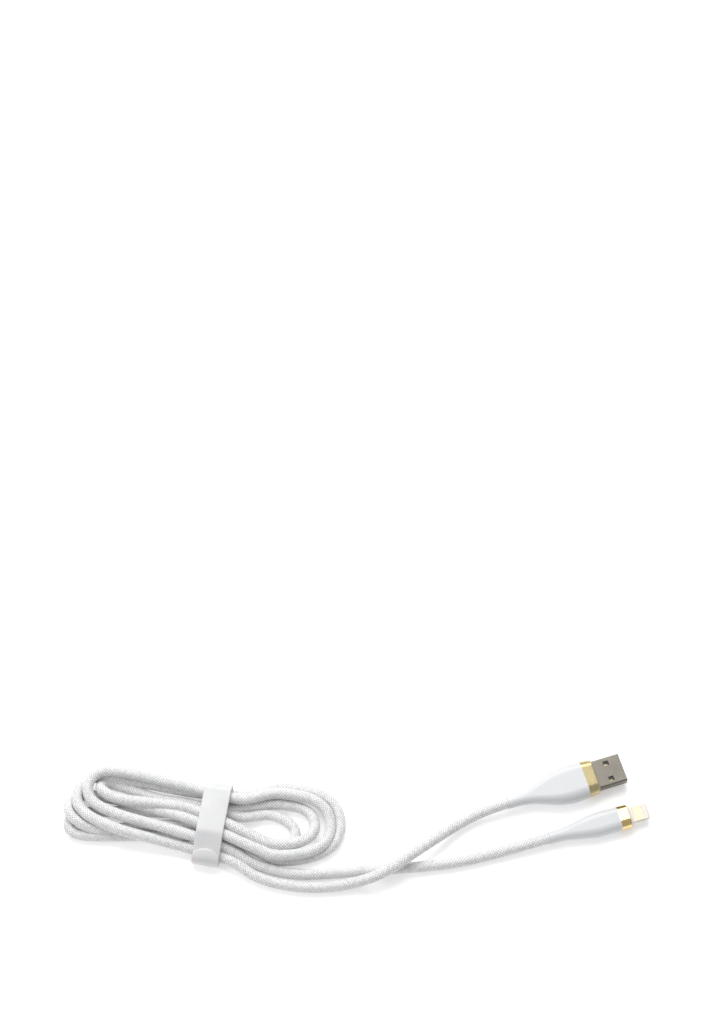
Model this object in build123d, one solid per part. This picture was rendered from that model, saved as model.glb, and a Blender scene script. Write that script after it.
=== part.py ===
from build123d import *
import math
import os

# Charging cable: a USB-A plug and a small phone plug on one braided cord, wound into a hank
# that a flat tie holds. Millimetres, +Z up. The cable lies on the plane z = 0. The origin is
# the middle of the footprint of the tie and the two plugs, on that plane.

# ---------------------------------------------------------------- driving dimensions

CORD_D = 4.5            # braided cord
CORE_D = 4.3            # end of the cord inside a housing
WALL = 0.3              # gap kept between pieces on different bodies

USB_NECK = (35.5, 2.3)  # where the cord enters the USB housing, in plan
USB_TURN = 17.5         # degrees from +X to the way the plug points
USB_HOUSING = 33.0      # housing length
USB_COLLAR = 4.6        # collar length
USB_SHELL = 12.0        # shell length in front of the collar
SHELL_W, SHELL_H, SHELL_T = 12.0, 4.5, 0.3

PHONE_NECK = (51.9, -12.3)
PHONE_TURN = 15.9
PHONE_HOUSING = 29.8
PHONE_COLLAR = 4.3
PHONE_TAB = 7.4
TAB_W, TAB_H = 6.7, 1.5

TIE_CENTRE = (-85.0, -6.9)
TIE_TURN = -9.4         # degrees from +X to the way the bundle runs under the tie
TIE_W = 11.0            # tie width, along the bundle
TIE_T = 0.8             # tie thickness
TIE_TRAVEL = 3.0        # slide each way along the bundle

HANK_H = 10.2           # two layers of cord, nested


# ---------------------------------------------------------------- shared helpers

def rounded_section(x, width, height, radius):
    """A rounded rectangle across the plug's axis, at distance x from the neck."""
    plane = Plane(origin=(x, 0, 0), x_dir=(0, 1, 0), z_dir=(1, 0, 0))
    return plane * RectangleRounded(width, height, radius)


def loft_body(sections):
    """A solid through rounded sections, each (x, width, height, corner radius)."""
    return loft([rounded_section(*section).face() for section in sections])


def inset(sections, gap):
    """The same sections, smaller by a gap on every side."""
    return [(x, w - 2 * gap, h - 2 * gap, r - gap) for x, w, h, r in sections]


def block(x0, x1, width, z0, z1, y=0.0):
    """A box from x0 to x1 and z0 to z1, with its width centred on y."""
    centre = Location(((x0 + x1) / 2, y, (z0 + z1) / 2))
    return centre * Box(x1 - x0, width, z1 - z0)


def rod(x0, x1, diameter, y=0.0, z=0.0):
    """A cylinder along the plug's axis."""
    plane = Plane(origin=(x0, y, z), x_dir=(0, 1, 0), z_dir=(1, 0, 0))
    return extrude(plane * Circle(diameter / 2), x1 - x0)


def ring(x0, x1, outer_d, inner_d):
    return rod(x0, x1, outer_d) - rod(x0 - 1, x1 + 1, inner_d)


def corner_radii(points):
    """The radius of each corner: as large as the two runs beside it allow."""
    radii = []
    for before, corner, after in zip(points, points[1:], points[2:]):
        run_in = Vector(corner) - Vector(before)
        run_out = Vector(after) - Vector(corner)
        turn = math.radians(run_in.get_angle(run_out))
        shorter = min(run_in.length, run_out.length)
        radii.append(0.45 * shorter / math.tan(turn / 2))
    return radii


def tube(points, diameter, name=None):
    """A round tube along straight runs that tangent arcs join."""
    radii = corner_radii(points)
    path = FilletPolyline(*points, radius=radii)
    start = Plane(origin=path @ 0, z_dir=path % 0)
    solid = sweep(start * Circle(diameter / 2), path=path)
    if name:
        ideal = math.pi * diameter ** 2 / 4 * path.length
        print(name, "length", round(path.length, 1), "volume / ideal", round(solid.volume / ideal, 4))
        print("  radii", [round(radius, 1) for radius in radii])
    return solid


def wire(points, diameter):
    """A short insulated wire between its ends."""
    return tube(points, diameter)


def write(name, shape, location=Location()):
    export_step(location * shape, "parts/" + name + ".step")


# ---------------------------------------------------------------- USB plug, along +X from its neck

USB_BODY = [
    (0.0, 5.0, 5.0, 2.45),
    (5.0, 5.3, 5.2, 2.5),
    (10.5, 7.2, 5.9, 2.7),
    (16.0, 11.0, 6.9, 3.1),
    (21.5, 14.6, 7.9, 3.6),
    (27.0, 16.0, 8.6, 3.9),
    (USB_HOUSING, 15.6, 8.8, 3.9),
]
USB_AXIS_Z = 8.84 / 2    # the housing's fattest section rests on the plane
USB_CAVITY = [
    (13.0, 6.8, 5.4, 2.5),
    (20.0, 11.2, 5.8, 2.7),
    (27.0, 13.2, 6.4, 2.9),
    (USB_HOUSING, 13.2, 6.5, 3.0),
]
USB_TIP = USB_HOUSING + USB_COLLAR + USB_SHELL
USB_SHELL_BACK = 26.5
USB_BASE_FRONT = 37.0
USB_CHAMBER_BACK = 17.0
USB_CORE_END = 16.8
USB_CRIMP = (13.3, 16.5)
USB_CRIMP_D = 5.1
# y of each contact and how far from the tip its front stops
USB_CONTACTS = {
    "usb_contact_power": (3.5, 1.8),
    "usb_contact_data_minus": (1.0, 2.8),
    "usb_contact_data_plus": (-1.0, 2.8),
    "usb_contact_ground": (-3.5, 1.8),
}
USB_WIRES = {
    "usb_wire_red": (3.5, 0.75, 0.75),
    "usb_wire_white": (1.0, 0.75, -0.75),
    "usb_wire_green": (-1.0, -0.75, -0.75),
    "usb_wire_black": (-3.5, -0.75, 0.75),
}
BLADE_W, BLADE_T = 1.0, 0.25
BLADE_TOP = -0.03
BLADE_BACK = 24.2
WIRE_D = 0.9
JOINT_FRONT = 25.6


def usb_shell():
    shell = loft_body([
        (USB_SHELL_BACK, SHELL_W, SHELL_H, 0.6),
        (USB_TIP, SHELL_W, SHELL_H, 0.6),
    ])
    inner = (SHELL_W - 2 * SHELL_T, SHELL_H - 2 * SHELL_T, 0.3)
    shell -= loft_body([(USB_SHELL_BACK - 1, *inner), (USB_TIP + 1, *inner)])
    window_x = USB_TIP - 6.1
    for side in (-1, 1):
        shell -= block(window_x - 1.15, window_x + 1.15, 2.0, -SHELL_H, SHELL_H, y=side * 3.4)
    seam = 0.1
    shell -= block(USB_SHELL_BACK - 1, USB_TIP + 1, seam, -SHELL_H, -SHELL_H / 2 + 2 * SHELL_T)
    return shell - stamped_tab()


def stamped_tab():
    """The slit of a small half-round tab, punched in the middle of the shell's upper wall."""
    centre = (USB_TIP - 9.6, 0, SHELL_H / 2 - 1.5 * SHELL_T)
    outer, inner = 1.0, 0.65
    slit = Cylinder(outer, 2 * SHELL_T) - Cylinder(inner, 4 * SHELL_T)
    slit -= Location((outer, 0, 0)) * Box(2 * outer, 4 * outer, 4 * SHELL_T)
    return Location(centre) * slit


def usb_tongue():
    """The base block that fills the shell, with the tongue in front of it."""
    width = SHELL_W - 2 * SHELL_T - 0.1
    half = SHELL_H / 2 - SHELL_T - 0.03
    corners = (width, 2 * half, 0.35)
    tongue = loft_body([(29.0, *corners), (USB_TIP - 0.7, *corners)])
    tongue -= block(USB_BASE_FRONT, USB_TIP, SHELL_W, 0.0, SHELL_H)
    for y, back_off in USB_CONTACTS.values():
        front = USB_TIP - back_off + 0.05
        slot_bottom = BLADE_TOP - BLADE_T - 0.02
        tongue -= block(28.0, front, BLADE_W + 0.04, slot_bottom, 0.02, y=y)
    return tongue


def usb_contact(y, back_off):
    return block(BLADE_BACK, USB_TIP - back_off, BLADE_W, BLADE_TOP - BLADE_T, BLADE_TOP, y=y)


def usb_wire(y_blade, y_core, z_core):
    """From the core's end, spreading out to the back of its contact's solder joint."""
    z_blade = BLADE_TOP + WIRE_D / 2 + 0.02
    middle = (USB_CHAMBER_BACK + BLADE_BACK) / 2
    route = [
        (USB_CORE_END, y_core, z_core),
        (USB_CORE_END + 1.6, y_core * 1.1, z_core),
        (middle + 0.6, (y_core + y_blade) / 2, (z_core + z_blade) / 2 + 0.05),
        (BLADE_BACK - 1.2, y_blade * 0.97, z_blade),
        (BLADE_BACK + 0.1, y_blade, z_blade),
    ]
    return wire(route, WIRE_D)


def usb_solder_joints():
    joints = [
        block(BLADE_BACK + 0.12, JOINT_FRONT, BLADE_W, BLADE_TOP, BLADE_TOP + 0.7, y=y)
        for y, _ in USB_CONTACTS.values()
    ]
    return Compound(children=joints)


def usb_inner_mould():
    """Fills the housing's cavity round the shell, with a chamber for the wires."""
    mould = loft_body(inset(USB_CAVITY, 0.05))
    mould -= rod(10.0, USB_CHAMBER_BACK, USB_CRIMP_D + 0.1)
    mould -= block(USB_CHAMBER_BACK - 0.1, 20.0, 6.0, -1.9, 1.9)
    mould -= block(19.9, USB_SHELL_BACK, 8.8, -1.9, 1.9)
    shell_room = SHELL_H / 2 + 0.05
    mould -= block(USB_SHELL_BACK - 0.1, USB_HOUSING + 1, SHELL_W + 0.1, -shell_room, shell_room)
    return mould


def usb_housing():
    housing = loft_body(USB_BODY)
    housing -= loft_body(USB_CAVITY)
    return housing - rod(-1.0, USB_CAVITY[0][0] + 1, CORE_D + 0.1)


def usb_collar():
    collar = loft_body([
        (USB_HOUSING, 15.4, 8.7, 3.8),
        (USB_HOUSING + USB_COLLAR, 14.2, 7.6, 3.2),
    ])
    collar = chamfer(collar.faces().sort_by(Axis.X)[-1].edges(), 0.25)
    opening = (SHELL_W + 0.1, SHELL_H + 0.1, 0.6)
    back, front = USB_HOUSING, USB_HOUSING + USB_COLLAR
    return collar - loft_body([(back - 1, *opening), (front + 1, *opening)])


def usb_plug():
    at = Location((*USB_NECK, USB_AXIS_Z), (0, 0, USB_TURN))
    write("usb_shell", usb_shell(), at)
    write("usb_tongue", usb_tongue(), at)
    for name, place in USB_CONTACTS.items():
        write(name, usb_contact(*place), at)
    for name, place in USB_WIRES.items():
        write(name, usb_wire(*place), at)
    write("usb_solder_joints", usb_solder_joints(), at)
    write("usb_inner_mould", usb_inner_mould(), at)
    write("usb_crimp_ring", ring(*USB_CRIMP, USB_CRIMP_D, CORE_D + 0.02), at)
    write("usb_cable_core", rod(0.0, USB_CORE_END, CORE_D), at)
    write("usb_housing", usb_housing(), at)
    write("usb_collar", usb_collar(), at)


# ---------------------------------------------------------------- phone plug, along +X from its neck

PHONE_BODY = [
    (0.0, 5.0, 5.0, 2.45),
    (6.0, 5.3, 5.2, 2.5),
    (12.0, 7.3, 5.7, 2.7),
    (18.0, 9.5, 6.3, 3.0),
    (24.0, 10.2, 6.7, 3.2),
    (PHONE_HOUSING, 10.1, 6.8, 3.2),
]
PHONE_AXIS_Z = 6.8 / 2
PHONE_CAVITY = [
    (12.5, 6.2, 5.0, 2.3),
    (18.0, 7.8, 5.3, 2.4),
    (24.0, 8.6, 5.5, 2.5),
    (PHONE_HOUSING, 8.6, 5.5, 2.5),
]
PHONE_FRONT = PHONE_HOUSING + PHONE_COLLAR
PHONE_RIM = 0.8         # how far the front plate stands out of the collar
PHONE_TIP = PHONE_FRONT + PHONE_RIM + PHONE_TAB
PHONE_CORE_END = 15.9
PHONE_CRIMP = (12.8, 15.6)
PHONE_CRIMP_D = 4.8
BOARD = (18.2, 28.4)
BOARD_W, BOARD_T = 6.0, 0.8
CAN_X = (20.4, 28.3)
CAN_W, CAN_T = 6.7, 0.2
TAB_BACK = 28.6
SLAB = (PHONE_TIP - 6.3, PHONE_TIP - 2.2)
SLAB_W, ROOT_W, ROOT_H = 5.8, 5.5, 0.8
CONTACT_X = (PHONE_TIP - 6.0, PHONE_TIP - 2.6)
CONTACT_W, CONTACT_T, CONTACT_PITCH = 0.42, 0.12, 0.71
CONTACT_COUNT = 8
PHONE_WIRE_D = 0.8
PHONE_WIRES = {
    "phone_wire_red": (2.1, 0.7, 0.7),
    "phone_wire_white": (0.7, 0.7, -0.7),
    "phone_wire_green": (-0.7, -0.7, -0.7),
    "phone_wire_black": (-2.1, -0.7, 0.7),
}


def phone_tab_frame():
    """The metal tab: rounded at its tip, with a window for the contact block."""
    frame = block(TAB_BACK, PHONE_TIP, TAB_W, -TAB_H / 2, TAB_H / 2)
    tip_edges = frame.edges().filter_by(Axis.Z).sort_by(Axis.X)[-2:]
    frame = fillet(tip_edges, 1.3)
    frame = fillet(frame.faces().sort_by(Axis.X)[-1].edges().filter_by(Axis.Y), 0.3)
    frame -= block(SLAB[0], SLAB[1], SLAB_W, -TAB_H, TAB_H)
    return frame - block(TAB_BACK - 1, SLAB[0] + 0.1, ROOT_W, -ROOT_H / 2, ROOT_H / 2)


def contact_rows(side):
    """Where the eight contacts of one face lie: side is +1 above, -1 below."""
    middle = (CONTACT_COUNT - 1) / 2
    surface = side * (TAB_H / 2 - 0.01)
    depth = surface - side * CONTACT_T
    low, high = min(surface, depth), max(surface, depth)
    for index in range(CONTACT_COUNT):
        yield (index - middle) * CONTACT_PITCH, low, high


def phone_contact_block():
    gap = 0.02
    slab = block(SLAB[0] + gap, SLAB[1] - gap, SLAB_W - 2 * gap, -TAB_H / 2 + 0.03, TAB_H / 2 - 0.03)
    slab += block(TAB_BACK + 0.1, SLAB[0] + 0.1, ROOT_W - 2 * gap, -ROOT_H / 2 + gap, ROOT_H / 2 - gap)
    for side in (-1, 1):
        for y, low, high in contact_rows(side):
            start, stop = CONTACT_X[0] - gap, CONTACT_X[1] + gap
            slab -= block(start, stop, CONTACT_W + 2 * gap, low - gap, high + gap, y=y)
    return slab


def phone_contacts(side):
    contacts = [block(*CONTACT_X, CONTACT_W, low, high, y=y) for y, low, high in contact_rows(side)]
    return Compound(children=contacts)


def phone_passive_parts():
    """Four chip capacitors and resistors under the board."""
    size = (1.0, 0.5, 0.45)
    top = -BOARD_T / 2 - 0.01
    parts = [
        block(x, x + size[0], size[1], top - size[2], top, y=y)
        for x in (21.6, 24.6)
        for y in (-1.4, 1.2)
    ]
    return Compound(children=parts)


def phone_shield(side):
    """One half of the can over the board: a channel open at both ends."""
    height = 1.9
    low, high = sorted((side * 0.02, side * height))
    can = block(*CAN_X, CAN_W, low, high)
    inner_low, inner_high = sorted((-side, side * (height - CAN_T)))
    return can - block(CAN_X[0] - 1, CAN_X[1] + 1, CAN_W - 2 * CAN_T, inner_low, inner_high)


def phone_wire(y_pad, y_core, z_core):
    z_pad = BOARD_T / 2 + PHONE_WIRE_D / 2 + 0.03
    route = [
        (PHONE_CORE_END, y_core, z_core),
        (PHONE_CORE_END + 0.7, y_core * 1.05, z_core),
        (PHONE_CORE_END + 1.6, (y_core + y_pad) / 2, (z_core + z_pad) / 2 + 0.3),
        (BOARD[0] + 0.1, y_pad * 0.97, z_pad + 0.02),
        (BOARD[0] + 0.9, y_pad, z_pad),
    ]
    return wire(route, PHONE_WIRE_D)


def phone_solder_joints():
    back = BOARD[0] + 0.92
    floor = BOARD_T / 2 + 0.01
    joints = [block(back, back + 0.9, 0.9, floor, floor + 0.7, y=y) for y, _, _ in PHONE_WIRES.values()]
    return Compound(children=joints)


def phone_inner_mould():
    mould = loft_body(inset(PHONE_CAVITY, 0.05))
    mould -= rod(10.0, PHONE_CORE_END + 0.1, PHONE_CRIMP_D + 0.1)
    mould -= block(PHONE_CORE_END, 18.2, 5.6, -1.6, 1.9)
    return mould - block(18.1, PHONE_HOUSING + 1, CAN_W + 0.1, -1.95, 1.95)


def phone_housing():
    housing = loft_body(PHONE_BODY)
    housing -= loft_body(PHONE_CAVITY)
    return housing - rod(-1.0, PHONE_CAVITY[0][0] + 1, CORE_D + 0.1)


def phone_collar():
    back = (PHONE_HOUSING, 10.1, 6.8, 3.2)
    front = (PHONE_FRONT, 9.8, 6.5, 3.1)
    collar = loft_body([back, front])
    collar = fillet(collar.faces().sort_by(Axis.X)[-1].edges(), 0.3)
    opening = (8.6, 5.3, 2.5)
    return collar - loft_body([(PHONE_HOUSING - 1, *opening), (PHONE_FRONT + 1, *opening)])


def phone_front_plate():
    """The pale plate that closes the collar round the tab."""
    seat = (8.5, 5.2, 2.45)
    plate = loft_body([(PHONE_FRONT - 2.5, *seat), (PHONE_FRONT, *seat)])
    lip = (9.2, 5.9, 2.8)
    plate += loft_body([(PHONE_FRONT + 0.02, *lip), (PHONE_FRONT + PHONE_RIM, 8.8, 5.5, 2.6)])
    plate += loft_body([(PHONE_FRONT - 0.1, *seat), (PHONE_FRONT + 0.2, *seat)])
    return plate - block(PHONE_HOUSING, PHONE_TIP, TAB_W + 0.06, -TAB_H / 2 - 0.03, TAB_H / 2 + 0.03)


def phone_plug():
    at = Location((*PHONE_NECK, PHONE_AXIS_Z), (0, 0, PHONE_TURN))
    write("phone_tab_frame", phone_tab_frame(), at)
    write("phone_contact_block", phone_contact_block(), at)
    write("phone_contacts_top", phone_contacts(+1), at)
    write("phone_contacts_bottom", phone_contacts(-1), at)
    write("phone_circuit_board", block(*BOARD, BOARD_W, -BOARD_T / 2, BOARD_T / 2), at)
    write("phone_controller_chip", block(23.0, 26.0, 3.0, BOARD_T / 2 + 0.01, BOARD_T / 2 + 0.8), at)
    write("phone_passive_parts", phone_passive_parts(), at)
    write("phone_shield_upper", phone_shield(+1), at)
    write("phone_shield_lower", phone_shield(-1), at)
    for name, place in PHONE_WIRES.items():
        write(name, phone_wire(*place), at)
    write("phone_solder_joints", phone_solder_joints(), at)
    write("phone_inner_mould", phone_inner_mould(), at)
    write("phone_crimp_ring", ring(*PHONE_CRIMP, PHONE_CRIMP_D, CORE_D + 0.02), at)
    write("phone_cable_core", rod(0.0, PHONE_CORE_END, CORE_D), at)
    write("phone_housing", phone_housing(), at)
    write("phone_collar", phone_collar(), at)
    write("phone_front_plate", phone_front_plate(), at)


# ---------------------------------------------------------------- cord

FLOOR = CORD_D / 2      # height of the cord's centre where it lies on the plane


def along(neck, turn, distance, height):
    """A point behind a plug's neck, on the line of its axis."""
    back = math.radians(turn + 180)
    return (neck[0] + distance * math.cos(back), neck[1] + distance * math.sin(back), height)


USB_TAIL = [
    along(USB_NECK, USB_TURN, 0.0, USB_AXIS_Z),
    along(USB_NECK, USB_TURN, 8.0, USB_AXIS_Z),
    (17.0, -4.8, FLOOR + 0.2),
    (1.0, -16.6, 7.2),
    (-16.0, -28.8, 7.4),
    (-29.0, -31.3, FLOOR + 0.4),
    (-38.0, -32.6, FLOOR),
]
PHONE_TAIL = [
    along(PHONE_NECK, PHONE_TURN, 0.0, PHONE_AXIS_Z),
    along(PHONE_NECK, PHONE_TURN, 8.0, PHONE_AXIS_Z),
    (33.0, -17.6, FLOOR + 0.1),
    (14.0, -22.4, FLOOR),
    (-5.0, -24.4, FLOOR),
    (-23.0, -25.4, FLOOR + 0.05),
    (-38.0, -26.9, FLOOR),
]


def plan_solid(outline, radii, low, high, edge):
    """A plate with a rounded outline and rounded upper and lower edges."""
    line = FilletPolyline(*outline, radius=radii, close=True)
    plate = extrude(Plane.XY.offset(low) * make_face(line), high - low)
    rims = plate.faces().filter_by(Axis.Z).edges()
    return fillet(rims, edge)


# section of the bundle under the tie: across the bundle and up, from the back edge
BUNDLE = [(16.0, 1.2), (16.0, 8.3), (13.5, HANK_H), (-5.0, HANK_H), (-15.2, 5.4), (-15.2, 1.2)]
BUNDLE_RADII = [1.2, 2.0, 2.0, 4.0, 2.0, 1.2]
LAP_TIP_Y = -11.0       # where the tie's rounded end lies across the bundle
LAP_RADIUS = 7.0
LEFT_LOBE = [
    (-88.0, 12.0),
    (-121.0, 21.0),
    (-139.0, 20.0),
    (-148.6, -3.0),
    (-144.0, -13.3),
    (-112.0, -13.6),
    (-90.0, -21.0),
]
LEFT_RADII = [3.0, 20.0, 12.0, 8.0, 4.0, 10.0, 3.0]
RIGHT_LOBE = [
    (-82.0, 10.4),
    (-62.0, 13.0),
    (-45.0, 12.0),
    (-30.0, -3.0),
    (-30.0, -18.0),
    (-37.0, -24.0),
    (-37.0, -35.6),
    (-56.0, -35.0),
    (-84.0, -24.2),
]
RIGHT_RADII = [3.0, 10.0, 12.0, 9.0, 4.0, 1.5, 1.5, 20.0, 3.0]
LOBE_CHAMFER = 1.4      # on the lobes' upper and lower rims


# A cutter this long and this tall reaches past the hank on every side.
CUTTER_Y = 80.0
CUTTER_Z = 60.0
LOBE_OVERLAP = 4.0


def plan_solid(outline, radii):
    """A lobe of the hank: a thick plate with a rounded outline and rounded rims."""
    line = FilletPolyline(*outline, radius=radii, close=True)
    plate = extrude(make_face(line), HANK_H)
    rims = plate.faces().filter_by(Axis.Z).edges()
    return chamfer(rims, LOBE_CHAMFER)


def across_bundle(start):
    """A plane across the bundle, with its x axis towards the back and its y axis up."""
    return Plane(origin=(start, 0, 0), x_dir=(0, 1, 0), z_dir=(1, 0, 0))


def bundle_face(gap=0.0):
    """The bundle's section, larger by a gap on every side."""
    face = make_face(FilletPolyline(*BUNDLE, radius=BUNDLE_RADII, close=True))
    if gap:
        face = offset(face, amount=gap, kind=Kind.ARC)
    return face


def hank():
    place = Location((*TIE_CENTRE, 0.0), (0, 0, TIE_TURN))
    waist = TIE_W + 2 * TIE_TRAVEL + 2 * WALL
    full = waist + 2 * LOBE_OVERLAP
    middle = place * extrude(across_bundle(-full / 2) * bundle_face(), full)
    keep_clear = place * Box(waist, CUTTER_Y, CUTTER_Z)
    lobes = [plan_solid(LEFT_LOBE, LEFT_RADII), plan_solid(RIGHT_LOBE, RIGHT_RADII)]
    left, right = [lobe - keep_clear for lobe in lobes]
    return left + middle + right


def cable_tie():
    """A band round the bundle whose rounded end laps over its front slope."""
    start = across_bundle(-TIE_W / 2)
    band = extrude(start * (bundle_face(WALL + TIE_T) - bundle_face(WALL)), TIE_W)
    lap = extrude(start * (bundle_face(WALL + 2 * TIE_T) - bundle_face(WALL)), TIE_W)
    front = Location((0, LAP_TIP_Y - LAP_RADIUS, 0)) * Cylinder(LAP_RADIUS, CUTTER_Z)
    under_face = BUNDLE[0][1] - WALL - TIE_T
    above_plane = Location((0, 0, under_face + CUTTER_Z / 2)) * Box(CUTTER_Y, CUTTER_Y, CUTTER_Z)
    return Location((*TIE_CENTRE, 0.0), (0, 0, TIE_TURN)) * (band + (lap & front & above_plane))


def cord():
    write("usb_tail", tube(USB_TAIL, CORD_D, "usb_tail"))
    write("phone_tail", tube(PHONE_TAIL, CORD_D, "phone_tail"))
    write("hank", hank())


if __name__ == "__main__":
    os.makedirs("parts", exist_ok=True)
    usb_plug()
    phone_plug()
    cord()
    write("cable_tie", cable_tie())
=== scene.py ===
import math

import bpy
import numpy as np
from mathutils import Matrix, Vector


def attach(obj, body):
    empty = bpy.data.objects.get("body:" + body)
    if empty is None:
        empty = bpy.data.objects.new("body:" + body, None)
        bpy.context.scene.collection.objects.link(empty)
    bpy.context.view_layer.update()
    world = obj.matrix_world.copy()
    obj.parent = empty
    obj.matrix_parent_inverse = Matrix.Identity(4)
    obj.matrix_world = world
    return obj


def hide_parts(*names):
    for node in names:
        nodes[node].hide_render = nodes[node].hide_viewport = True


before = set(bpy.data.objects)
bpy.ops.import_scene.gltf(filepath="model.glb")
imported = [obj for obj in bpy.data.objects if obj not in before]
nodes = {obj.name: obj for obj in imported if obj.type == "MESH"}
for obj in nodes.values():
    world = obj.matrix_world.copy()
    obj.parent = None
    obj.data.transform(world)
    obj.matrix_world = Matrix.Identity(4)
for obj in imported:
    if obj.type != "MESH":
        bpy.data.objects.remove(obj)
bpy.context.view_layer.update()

MM = 0.001

# ---------------------------------------------------------------- camera

CAMERA_ELEVATION = math.radians(72)
CAMERA_DISTANCE = 1.0
CAMERA_SIDE = -0.0258
CAMERA_TILT = math.radians(25.06)
LENS_MM = 85.1
SENSOR_MM = 36.0


def add_camera():
    data = bpy.data.cameras.new("photo_camera")
    data.lens = LENS_MM
    data.sensor_width = SENSOR_MM
    camera = bpy.data.objects.new("photo_camera", data)
    bpy.context.collection.objects.link(camera)
    camera.location = (
        CAMERA_SIDE,
        -CAMERA_DISTANCE * math.cos(CAMERA_ELEVATION),
        CAMERA_DISTANCE * math.sin(CAMERA_ELEVATION),
    )
    camera.rotation_euler = (CAMERA_TILT, 0, 0)
    bpy.context.scene.camera = camera


add_camera()

# ---------------------------------------------------------------- the cord's route, in metres

CORD_D = 0.0045
TIE_CENTRE = (-0.0850, -0.0069)
TIE_TURN = math.radians(-9.4)
SLOT_U = 0.0098  # how far each side of the tie's middle the passes are still parallel

USB_NECK = (0.0355, 0.0023)
USB_TURN = math.radians(17.5)
USB_AXIS_Z = 0.00442
PHONE_NECK = (0.0519, -0.0123)
PHONE_TURN = math.radians(15.9)
PHONE_AXIS_Z = 0.0034
STRAIGHT_RUN = 0.008

USB_TAIL = [
    (0.0170, -0.0048, 0.00245),
    (0.0010, -0.0166, 0.00720),
    (-0.0160, -0.0288, 0.00740),
    (-0.0290, -0.0313, 0.00265),
    (-0.0380, -0.0326, 0.00225),
    (-0.0500, -0.0326, 0.00225),
    (-0.0660, -0.0294, 0.00225),
]
PHONE_TAIL = [
    (0.0330, -0.0176, 0.00235),
    (0.0140, -0.0224, 0.00225),
    (-0.0050, -0.0244, 0.00225),
    (-0.0230, -0.0254, 0.00230),
    (-0.0380, -0.0269, 0.00225),
    (-0.0520, -0.0274, 0.00225),
    (-0.0670, -0.0236, 0.00245),
]

# Where each pass lies under the tie, in mm: across the bundle (towards the back) and its height.
LEFT_PASSES = {
    "back_top": (12.9, 7.9),
    "back_low": (12.3, 3.45),
    "second_low": (7.8, 3.7),
    "third_low": (3.2, 3.45),
    "fourth_low": (-1.4, 3.45),
    "fifth_low": (-6.0, 3.45),
    "front_low": (-10.7, 3.45),
    "second_top": (4.8, 7.9),
    "third_top": (0.2, 7.9),
    "front_top": (-6.2, 7.3),
}
RIGHT_PASSES = {
    "back_low": (13.5, 4.4),
    "back_top": (10.8, 7.7),
    "second_low": (9.3, 3.4),
    "third_low": (4.7, 3.5),
    "fourth_low": (0.2, 3.45),
    "fifth_low": (-4.6, 3.45),
    "phone": (-8.85, 3.8),
    "usb": (-12.75, 3.7),
    "second_top": (-0.6, 7.9),
    "front_top": (-5.3, 7.6),
}

# The turns in order of travel, in mm: side, pass in, pass out, which way round, centre, reach, half width,
# tilt in degrees, and the heights at five places from the back strand to the front strand.
TURNS = [
    (-1, "front_low", "back_low", "to_back", (-125.5, 2.5), 15.3, 11.4, -17, (3.6, 4.8, 6.8, 7.6, 8.0)),
    (1, "back_low", "fifth_low", "to_front", (-51.0, -6.2), 18.0, 16.2, 0, (2.8, 2.4, 2.25, 2.25, 2.25)),
    (-1, "fifth_low", "third_low", "to_back", (-138.2, -5.8), 5.6, 5.2, -4, (2.3, 2.25, 2.25, 2.25, 2.25)),
    (1, "second_low", "second_top", "to_front", (-55.5, -7.0), 12.0, 9.8, 0, (2.7, 2.5, 3.4, 6.0, 7.0)),
    (-1, "second_top", "second_low", "to_back", (-124.6, 6.9), 6.8, 3.8, -22, (2.3, 2.4, 5.2, 8.8, 8.8)),
    (1, "third_low", "fourth_low", "to_front", (-60.0, -8.8), 9.0, 6.4, -20, (2.25, 2.25, 2.25, 2.25, 2.25)),
    (-1, "fourth_low", "third_top", "to_back", (-133.4, -1.4), 10.8, 7.6, -20, (4.4, 2.6, 3.8, 6.0, 4.2)),
    (1, "front_top", "back_top", "to_back", (-53.0, -7.4), 16.0, 13.9, 0, (6.2, 5.4, 3.4, 5.4, 6.8)),
    (-1, "back_top", "front_top", "to_front", (-125.2, 6.2), 11.0, 9.2, -16, (8.3, 8.6, 8.6, 8.4, 8.2)),
]
# Left strands that bow to the front or back halfway between the tie and their turn, in mm.
BOWS = {"second_low": -2.0, "third_low": 0.8, "fourth_low": 1.3}
TURN_ANGLES = (90, 45, 0, -45, -90)
OUTSIDE = 1 / math.cos(math.radians(22.5))  # control points stand this much outside the curve they make
LEAD_IN = 0.35  # a turn's end points lie this share of its reach back towards the tie


def place(u, v):
    """A point under the tie: u along the bundle, v across it."""
    c = math.cos(TIE_TURN)
    s = math.sin(TIE_TURN)
    return (TIE_CENTRE[0] + u * c - v * s, TIE_CENTRE[1] + u * s + v * c)


def pass_point(side, name):
    v, z = (LEFT_PASSES if side < 0 else RIGHT_PASSES)[name]
    return Vector((*place(side * SLOT_U, v * MM), z * MM))


def bow(side, name):
    """How far a strand stands off the straight line halfway to its turn."""
    return Vector((0, BOWS.get(name, 0) * MM if side < 0 else 0, 0))


def turn_points(side, way, centre, reach, half, tilt, heights):
    """Control points round one turn, in the order of travel."""
    c = math.cos(math.radians(tilt))
    s = math.sin(math.radians(tilt))
    points = []
    for angle, z in zip(TURN_ANGLES, heights):
        at_end = abs(angle) == 90
        x = -reach * LEAD_IN if at_end else reach * math.cos(math.radians(angle)) * OUTSIDE
        y = half * math.sin(math.radians(angle)) * (1 if at_end else OUTSIDE)
        x *= side
        points.append(Vector((centre[0] + x * c - y * s, centre[1] + x * s + y * c, z)) * MM)
    return points if way == "to_front" else points[::-1]


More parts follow.
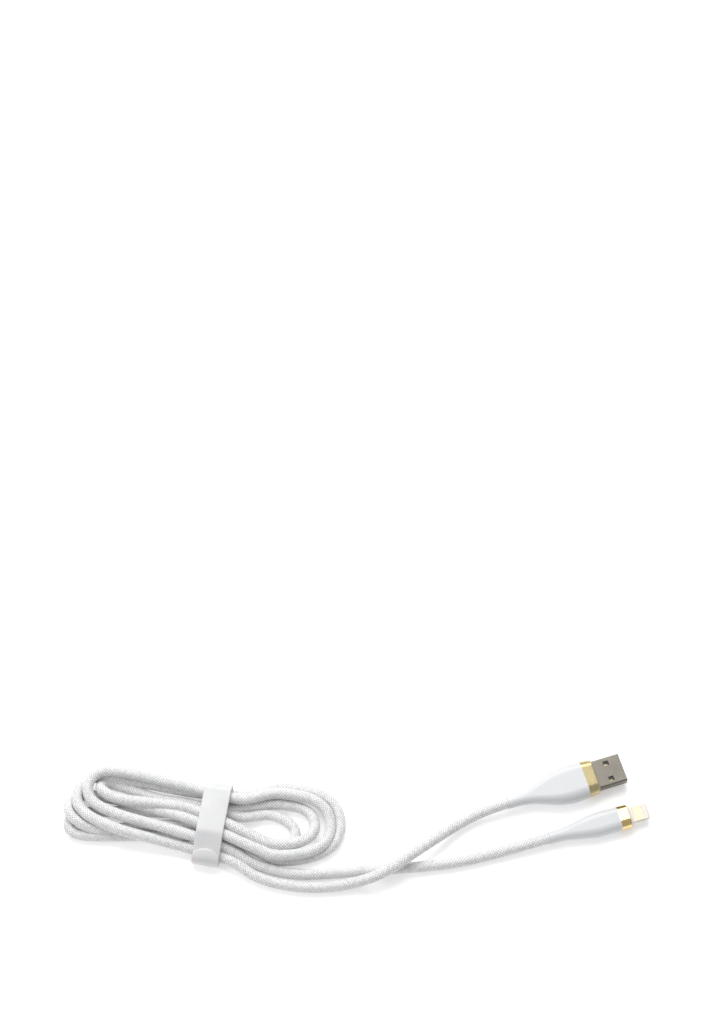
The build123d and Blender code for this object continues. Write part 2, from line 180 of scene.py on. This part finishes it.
def hank_route():
    """Control points through every turn, straight under the tie between them."""
    points = []
    for side, entry, leave, way, *shape in TURNS:
        into = pass_point(side, entry)
        out = pass_point(side, leave)
        around = turn_points(side, way, *shape)
        before = into.lerp(around[0], 0.5) + bow(side, entry)
        after = around[-1].lerp(out, 0.5) + bow(side, leave)
        points += [into, before, *around, after, out]
    return points


def neck_points(neck, turn, z):
    """The neck's centre and a point straight back from it."""
    back = (neck[0] - STRAIGHT_RUN * math.cos(turn), neck[1] - STRAIGHT_RUN * math.sin(turn), z)
    return [(*neck, z), back]


def cord_route():
    usb = neck_points(USB_NECK, USB_TURN, USB_AXIS_Z) + USB_TAIL + [pass_point(1, "usb")]
    phone = neck_points(PHONE_NECK, PHONE_TURN, PHONE_AXIS_Z) + PHONE_TAIL + [pass_point(1, "phone")]
    return usb + hank_route() + phone[::-1]


def spline_line(route, resolution):
    """Points read from the NURBS spline whose control points are the route."""
    curve = bpy.data.curves.new("route", "CURVE")
    curve.dimensions = "3D"
    curve.resolution_u = resolution
    spline = curve.splines.new("NURBS")
    spline.points.add(len(route) - 1)
    for point, place_of in zip(spline.points, route):
        point.co = (*place_of, 1)
    spline.order_u = 3
    spline.use_endpoint_u = True
    holder = bpy.data.objects.new("route", curve)
    bpy.context.collection.objects.link(holder)
    mesh = bpy.data.meshes.new_from_object(holder)
    line = np.array([vertex.co for vertex in mesh.vertices])
    bpy.data.objects.remove(holder)
    bpy.data.meshes.remove(mesh)
    return line


# ---------------------------------------------------------------- the braided cord

SIDES = 24
RING_STEP = 0.000305
CARRIERS = 10  # yarns each way round
PICK = 0.0012  # length of cord between two crossings
RELIEF = 0.00003
SPLINE_STEPS = 24
LINE_SMOOTHING = 6


def even_line(line, step):
    """The same line with evenly spaced points."""
    along = np.concatenate([[0], np.cumsum(np.linalg.norm(np.diff(line, axis=0), axis=1))])
    count = int(round(along[-1] / step)) + 1
    want = np.linspace(0, along[-1], count)
    return np.stack([np.interp(want, along, line[:, axis]) for axis in range(3)], axis=1), want


def smoothed(line, passes):
    for _ in range(passes):
        line[1:-1] = 0.25 * line[:-2] + 0.5 * line[1:-1] + 0.25 * line[2:]
    return line


def frames_along(line):
    """A side direction and its normal at each point, carried along without twist."""
    tangents = np.gradient(line, axis=0)
    tangents /= np.linalg.norm(tangents, axis=1)[:, None]
    side = np.cross(tangents[0], (0, 0, 1))
    sides = []
    for tangent in tangents:
        side = side - tangent * side.dot(tangent)
        side = side / np.linalg.norm(side)
        sides.append(side)
    sides = np.array(sides)
    return sides, np.cross(tangents, sides)


def braid_height(turn, along):
    """Each yarn stands up where it crosses over, 0 to 1."""
    one = np.sin(math.pi * (CARRIERS * turn + along / PICK)) ** 2
    other = np.sin(math.pi * (CARRIERS * turn - along / PICK)) ** 2
    return one * other


def add_mesh(name, vertices, faces):
    mesh = bpy.data.meshes.new(name)
    mesh.from_pydata([tuple(v) for v in vertices], [], faces)
    mesh.update()
    mesh.shade_smooth()
    piece = bpy.data.objects.new(name, mesh)
    bpy.context.collection.objects.link(piece)
    return piece


def tube_faces(rings, sides):
    return [
        (r * sides + k, r * sides + (k + 1) % sides, (r + 1) * sides + (k + 1) % sides, (r + 1) * sides + k)
        for r in range(rings - 1)
        for k in range(sides)
    ]


def braided_tube(name, line, diameter):
    """A closed tube along the line, with raised yarns and a UV map of turn and length."""
    line, along = even_line(line, RING_STEP)
    line = smoothed(line, LINE_SMOOTHING)
    first, second = frames_along(line)
    turns = np.arange(SIDES) / SIDES
    angles = 2 * math.pi * turns
    height = braid_height(turns[None, :], along[:, None])
    radius = diameter / 2 - RELIEF + RELIEF * height
    out = np.cos(angles)[None, :, None] * first[:, None] + np.sin(angles)[None, :, None] * second[:, None]
    vertices = (line[:, None] + out * radius[..., None]).reshape(-1, 3)
    rings = len(line)
    faces = tube_faces(rings, SIDES)
    faces.append(tuple(range(SIDES))[::-1])
    faces.append(tuple(range((rings - 1) * SIDES, rings * SIDES)))
    piece = add_mesh(name, vertices, faces)
    uv = piece.data.uv_layers.new(name="braid")
    for polygon in piece.data.polygons:
        if len(polygon.vertices) > 4:
            continue
        base_side = polygon.vertices[0] % SIDES
        for loop, vertex in zip(polygon.loop_indices, polygon.vertices):
            side = vertex % SIDES
            turn = (side + SIDES if side < base_side else side) / SIDES
            uv.data[loop].uv = (turn, along[vertex // SIDES])
    return piece, line


# ---------------------------------------------------------------- node helpers


class Nodes:
    """Short calls for building one material's node tree."""

    def __init__(self, name):
        self.material = bpy.data.materials.new(name)
        self.material.use_nodes = True
        self.tree = self.material.node_tree
        self.shader = self.tree.nodes["Principled BSDF"]

    def add(self, kind, **settings):
        node = self.tree.nodes.new(kind)
        for key, value in settings.items():
            setattr(node, key, value)
        return node

    def put(self, socket, value):
        if hasattr(value, "is_output"):
            self.tree.links.new(value, socket)
        else:
            socket.default_value = value

    def math(self, operation, a, b=0.0, c=0.0):
        node = self.add("ShaderNodeMath", operation=operation)
        self.put(node.inputs[0], a)
        self.put(node.inputs[1], b)
        self.put(node.inputs[2], c)
        return node.outputs[0]

    def mix(self, factor, a, b):
        node = self.add("ShaderNodeMix", data_type="RGBA")
        self.put(node.inputs["Factor"], factor)
        self.put(node.inputs["A"], a)
        self.put(node.inputs["B"], b)
        return node.outputs["Result"]

    def mix_value(self, factor, a, b):
        node = self.add("ShaderNodeMix", data_type="FLOAT")
        self.put(node.inputs["Factor"], factor)
        self.put(node.inputs["A"], a)
        self.put(node.inputs["B"], b)
        return node.outputs["Result"]

    def noise(self, scale, detail=2.0, roughness=0.5, vector=None):
        node = self.add("ShaderNodeTexNoise")
        node.inputs["Scale"].default_value = scale
        node.inputs["Detail"].default_value = detail
        node.inputs["Roughness"].default_value = roughness
        if vector is None:
            vector = self.add("ShaderNodeTexCoord").outputs["Object"]
        self.tree.links.new(vector, node.inputs["Vector"])
        return node.outputs["Fac"]

    def stretched(self, scales, turn=0.0):
        """Object coordinates turned about Z, then scaled."""
        node = self.add("ShaderNodeMapping", vector_type="POINT")
        node.inputs["Rotation"].default_value = (0, 0, turn)
        node.inputs["Scale"].default_value = scales
        self.tree.links.new(self.add("ShaderNodeTexCoord").outputs["Object"], node.inputs["Vector"])
        return node.outputs[0]

    def between(self, value, low, high, to_low=0.0, to_high=1.0):
        node = self.add("ShaderNodeMapRange")
        self.put(node.inputs["Value"], value)
        node.inputs["From Min"].default_value = low
        node.inputs["From Max"].default_value = high
        node.inputs["To Min"].default_value = to_low
        node.inputs["To Max"].default_value = to_high
        return node.outputs[0]

    def bump(self, height, strength, distance):
        node = self.add("ShaderNodeBump")
        self.put(node.inputs["Height"], height)
        node.inputs["Strength"].default_value = strength
        node.inputs["Distance"].default_value = distance
        self.tree.links.new(node.outputs[0], self.shader.inputs["Normal"])

    def set(self, **values):
        for key, value in values.items():
            self.put(self.shader.inputs[key.replace("_", " ")], value)


def grey(value, tint=(1.0, 1.0, 1.0)):
    return (value * tint[0], value * tint[1], value * tint[2], 1.0)


# ---------------------------------------------------------------- materials


def braid_material():
    """Heathered white and silver yarn, woven one over one, with fine filaments along each yarn, and painted
    shade darkening the gaps between the crossings.
    """
    n = Nodes("braided_yarn")
    split = n.add("ShaderNodeSeparateXYZ")
    n.tree.links.new(n.add("ShaderNodeUVMap", uv_map="braid").outputs[0], split.inputs[0])
    around = n.math("MULTIPLY", split.outputs[0], CARRIERS)
    along = n.math("DIVIDE", split.outputs[1], PICK)
    one = n.math("ADD", around, along)
    other = n.math("SUBTRACT", around, along)
    one_index = n.math("FLOOR", one)
    other_index = n.math("FLOOR", other)
    on_top = n.math("FLOORED_MODULO", n.math("ADD", one_index, other_index), 2.0)
    one_filaments = n.math("SINE", n.math("MULTIPLY", one, 2 * math.pi * 4))
    other_filaments = n.math("SINE", n.math("MULTIPLY", other, 2 * math.pi * 4))
    filaments = n.mix_value(on_top, one_filaments, other_filaments)
    cell = n.add("ShaderNodeCombineXYZ")
    n.put(cell.inputs[0], one_index)
    n.put(cell.inputs[1], other_index)
    speck = n.add("ShaderNodeTexWhiteNoise", noise_dimensions="3D")
    n.tree.links.new(cell.outputs[0], speck.inputs["Vector"])
    yarn = n.add("ShaderNodeTexWhiteNoise", noise_dimensions="1D")
    n.put(yarn.inputs["W"], n.mix_value(on_top, one_index, other_index))
    speck_part = n.math("MULTIPLY", speck.outputs["Value"], 0.7)
    yarn_part = n.math("MULTIPLY", yarn.outputs["Value"], 0.3)
    heather = n.math("ADD", speck_part, yarn_part)
    one_dome = n.math("SINE", n.math("MULTIPLY", one, math.pi))
    other_dome = n.math("SINE", n.math("MULTIPLY", other, math.pi))
    dome = n.math("ABSOLUTE", n.math("MULTIPLY", one_dome, other_dome))
    shade = n.between(heather, 0.2, 0.6, 0.0, 1.0)
    yarn_colour = n.mix(shade, grey(0.72, (0.99, 1.0, 1.015)), grey(0.88))
    # painted shade: the low gaps between the yarn crossings are darkened towards a mid grey
    crevice_painted_shade = n.between(dome, 0.0, 0.45, 0.0, 1.0)
    colour = n.mix(crevice_painted_shade, grey(0.50), yarn_colour)
    n.set(Base_Color=colour, Roughness=n.between(filaments, -1, 1, 0.62, 0.5))
    n.set(Specular_IOR_Level=0.4)
    n.set(Sheen_Weight=0.25, Sheen_Roughness=0.45)
    height = n.math("ADD", n.math("MULTIPLY", dome, 1.0), n.math("MULTIPLY", filaments, 0.12))
    n.bump(height, 0.4, 0.0001)
    return n.material


def plastic_material(name, colour, roughness, grain=0.012, spots=0.02):
    """Moulded plastic with a fine spark-eroded grain and faint uneven gloss."""
    n = Nodes(name)
    mottle = n.noise(90.0, 3.0)
    darker = grey(colour[0] * (1 - spots), colour[1])
    n.set(Base_Color=n.mix(n.between(mottle, 0.35, 0.65), darker, grey(*colour)))
    n.set(Roughness=n.between(n.noise(260.0, 3.0), 0.3, 0.7, roughness - 0.05, roughness + 0.05))
    n.set(Specular_IOR_Level=0.5, Coat_Weight=0.12, Coat_Roughness=0.3)
    n.bump(n.noise(5200.0, 2.0), 0.25, grain * MM)
    return n.material


def metal_material(name, colour, roughness, turn, streaks=0.12):
    """Metal with drawing lines across the plug's axis and faint handling smudges."""
    n = Nodes(name)
    lines = n.noise(1.0, 3.0, 0.6, n.stretched((5200.0, 160.0, 160.0), -turn))
    smudge = n.noise(130.0, 3.0)
    darker = tuple(c * (1 - streaks) for c in colour)
    n.set(Base_Color=n.mix(n.between(lines, 0.3, 0.7), (*darker, 1.0), (*colour, 1.0)))
    line_part = n.between(lines, 0.3, 0.7, -0.05, 0.05)
    smudge_part = n.between(smudge, 0.35, 0.65, roughness - 0.04, roughness + 0.05)
    n.set(Roughness=n.math("ADD", line_part, smudge_part))
    n.set(Metallic=1.0)
    n.bump(lines, 0.2, 0.00001)
    return n.material


def strap_material():
    """Smooth, slightly milky strap with a faint fine grain."""
    n = Nodes("strap_satin")
    soft = n.noise(140.0, 3.0)
    n.set(Base_Color=n.mix(n.between(soft, 0.35, 0.65, 0.0, 1.0), grey(0.67, (0.99, 1.0, 1.01)), grey(0.71)))
    n.set(Roughness=n.between(n.noise(700.0, 3.0), 0.3, 0.7, 0.36, 0.46))
    n.set(Subsurface_Weight=0.15, Subsurface_Scale=0.0015)
    n.set(Specular_IOR_Level=0.5, Coat_Weight=0.15, Coat_Roughness=0.25)
    n.bump(n.noise(3600.0, 2.0), 0.2, 0.00001)
    return n.material


def board_material():
    """Green circuit board with slightly raised, lighter tracks."""
    n = Nodes("board_green")
    tracks = n.noise(900.0, 1.0)
    dark_green = (0.01, 0.09, 0.03, 1)
    light_green = (0.02, 0.16, 0.06, 1)
    n.set(Base_Color=n.mix(n.between(tracks, 0.48, 0.52), dark_green, light_green))
    n.set(Roughness=0.35)
    n.bump(tracks, 0.3, 0.00002)
    return n.material


# ---------------------------------------------------------------- the strap

STRAP_W = 0.011
STRAP_T = 0.0008
STRAP_GAP = 0.0003
# Corners of the bundle's section in mm, across and height, with each corner's radius, from under the lap
# up the front slope, over the top, down the back and along the floor to the lap.
STRAP_CORNERS = [
    ((-15.2, 5.4), 2.0),
    ((-5.0, 10.2), 4.0),
    ((13.5, 10.2), 2.0),
    ((16.0, 8.3), 2.0),
    ((16.0, 1.2), 1.2),
    ((-15.2, 1.2), 1.2),
    ((-15.2, 5.4), 2.0),
]
STRAP_START = (-15.2, 3.2)
LAP_TIP = (-11.0, 7.376)
LAP_RADIUS = 0.007
LAP_LENGTH = 0.0066
LAP_RISE = 0.0016
ARC_STEPS = 10
EDGE_STEPS = 8
STRAP_STEP = 0.0003
LAP_CLEARANCE = 0.00003
TIP_SPARE = 0.0001  # keeps the last section at the tip from closing to nothing


def rounded_path(start, corners, end):
    """A polyline through rounded corners."""
    path = [np.array(start, float)]
    plain = [start, *[corner for corner, _ in corners], end]
    for index, (corner, radius) in enumerate(corners):
        corner = np.array(corner, float)
        before = np.array(plain[index], float) - corner
        after = np.array(plain[index + 2], float) - corner
        before /= np.linalg.norm(before)
        after /= np.linalg.norm(after)
        half = math.acos(max(-1.0, min(1.0, float(before.dot(after))))) / 2
        trim = radius / math.tan(half)
        middle = corner + (before + after) / np.linalg.norm(before + after) * radius / math.sin(half)
        first = corner + before * trim - middle
        last = corner + after * trim - middle
        for k in range(ARC_STEPS + 1):
            t = k / ARC_STEPS
            spoke = first * (1 - t) + last * t
            path.append(middle + spoke / np.linalg.norm(spoke) * radius)
    path.append(np.array(end, float))
    return np.array(path)


def strap_section(half_width):
    """The band's own section: across the width and outward, with rounded edges."""
    edge = STRAP_T / 2
    right = []
    for k in range(EDGE_STEPS + 1):
        angle = math.pi / 2 - math.pi * k / EDGE_STEPS
        right.append((half_width - edge + edge * math.cos(angle), edge * math.sin(angle)))
    left = [(-across, -out) for across, out in right]
    return right + left


def build_strap():
    """The band round the bundle, whose rounded end lifts over its own start."""
    path = rounded_path(STRAP_START, STRAP_CORNERS, LAP_TIP) * MM
    line = np.column_stack([path, np.zeros(len(path))])
    line, along = even_line(line, STRAP_STEP)
    tangent = np.gradient(line[:, :2], axis=0)
    tangent /= np.linalg.norm(tangent, axis=1)[:, None]
    normal = np.column_stack([-tangent[:, 1], tangent[:, 0]])
    total = along[-1]
    lift = np.clip((along - total + LAP_LENGTH + LAP_RISE) / LAP_RISE, 0, 1)
    lift = lift * lift * (3 - 2 * lift)
    offset = STRAP_GAP + STRAP_T / 2 + lift * (STRAP_T + LAP_CLEARANCE)
    centre = line[:, :2] + normal * offset[:, None]
    remaining = np.clip(total - along, 0, LAP_RADIUS)
    round_half = np.sqrt(np.maximum(LAP_RADIUS ** 2 - (LAP_RADIUS - remaining) ** 2, 0))
    half = np.minimum(STRAP_W / 2, np.maximum(round_half, STRAP_T / 2 + TIP_SPARE))
    vertices = []
    for (v, z), (nv, nz), width in zip(centre, normal, half):
        for across, out in strap_section(width):
            vertices.append((*place(across, v + nv * out), z + nz * out))
    count = len(strap_section(1))
    faces = tube_faces(len(centre), count)
    faces.append(tuple(range(count))[::-1])
    faces.append(tuple(range((len(centre) - 1) * count, len(centre) * count)))
    return add_mesh("strap_band", vertices, faces)


# ---------------------------------------------------------------- build

cord, cord_line = braided_tube("braided_cord", spline_line(cord_route(), SPLINE_STEPS), CORD_D)
cord.data.materials.append(braid_material())
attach(cord, "cable")
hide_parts("usb_tail", "phone_tail", "hank")

strap = build_strap()
strap.data.materials.append(strap_material())
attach(strap, "tie")
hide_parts("cable_tie")

WHITE = (0.68, (0.985, 1.0, 1.02))
MATERIALS = {
    "housing_white": plastic_material("housing_plastic", WHITE, 0.38),
    "front_plate_white": plastic_material("front_plastic", (0.8, (1.0, 0.95, 0.93)), 0.3),
    "insulator_white": plastic_material("insulator_plastic", (0.8, (1.0, 0.99, 0.96)), 0.4),
    "mould_milky": plastic_material("mould_plastic", (0.7, (1.0, 0.99, 0.95)), 0.5),
    "core_jacket": plastic_material("jacket_plastic", (0.75, (1.0, 1.0, 1.0)), 0.5),
    "gold_brushed": metal_material("gold_brushed", (0.64, 0.54, 0.30), 0.34, USB_TURN, 0.2),
    "gold_polished": metal_material("gold_polished", (0.84, 0.64, 0.30), 0.16, PHONE_TURN, 0.04),
    "shell_nickel": metal_material("shell_nickel", (0.20, 0.185, 0.16), 0.42, USB_TURN),
    "tab_steel": metal_material("tab_steel", (0.70, 0.66, 0.60), 0.48, PHONE_TURN),
    "contact_gold": metal_material("contact_gold", (0.86, 0.74, 0.46), 0.42, PHONE_TURN),
    "crimp_brass": metal_material("crimp_brass", (0.80, 0.66, 0.36), 0.35, 0.0),
    "solder": metal_material("solder", (0.72, 0.73, 0.75), 0.4, 0.0),
    "shield_steel": metal_material("shield_steel", (0.70, 0.71, 0.72), 0.35, PHONE_TURN),
    "board_green": board_material(),
    "chip_black": plastic_material("chip_plastic", (0.03, (1.0, 1.0, 1.0)), 0.5),
    "passive_tan": plastic_material("passive_ceramic", (0.45, (1.0, 0.82, 0.6)), 0.45),
    "wire_red": plastic_material("wire_red", (0.6, (1.0, 0.05, 0.05)), 0.4),
    "wire_white": plastic_material("wire_white", (0.8, (1.0, 1.0, 1.0)), 0.4),
    "wire_green": plastic_material("wire_green", (0.4, (0.1, 1.0, 0.2)), 0.4),
    "wire_black": plastic_material("wire_black", (0.04, (1.0, 1.0, 1.0)), 0.4),
}


def dress_nodes():
    """Gives every carried-over CAD node the material its slot calls for."""
    for node in nodes.values():
        for material_slot in node.material_slots:
            wanted = material_slot.material.name.split(".")[0] if material_slot.material else ""
            if wanted in MATERIALS:
                material_slot.material = MATERIALS[wanted]


dress_nodes()

# ---------------------------------------------------------------- floor and light


FLOOR_HALF = 3
FLOOR_GLOW = 0.28  # a lit table, so the pale floor stays white under the soft shadows


def add_floor():
    corners = [(-FLOOR_HALF, -FLOOR_HALF, 0), (FLOOR_HALF, -FLOOR_HALF, 0),
               (FLOOR_HALF, FLOOR_HALF, 0), (-FLOOR_HALF, FLOOR_HALF, 0)]
    piece = add_mesh("floor", corners, [(0, 1, 2, 3)])
    n = Nodes("floor_paper")
    n.set(Base_Color=grey(0.95), Roughness=0.9, Emission_Color=grey(1.0), Emission_Strength=FLOOR_GLOW)
    n.set(Specular_IOR_Level=0.1)
    piece.data.materials.append(n.material)


def add_area_light(name, at, size, power):
    data = bpy.data.lights.new(name, "AREA")
    data.shape = "DISK"
    data.size = size
    data.energy = power
    lamp = bpy.data.objects.new(name, data)
    bpy.context.collection.objects.link(lamp)
    lamp.location = at
    lamp.rotation_euler = (-Vector(at)).to_track_quat("-Z", "Y").to_euler()


def add_world(strength):
    world = bpy.data.worlds.new("studio")
    world.use_nodes = True
    background = world.node_tree.nodes["Background"]
    background.inputs[0].default_value = (1.0, 1.0, 1.0, 1.0)
    background.inputs[1].default_value = strength
    bpy.context.scene.world = world


add_floor()
add_area_light("key", (-0.15, 0.65, 0.8), 0.9, 9.5)
add_area_light("side", (-0.8, -0.1, 0.8), 0.6, 2.0)
add_area_light("glint", (0.205, 0.31, 0.95), 0.12, 0.28)
add_world(0.46)
bpy.context.scene.view_settings.view_transform = "Standard"
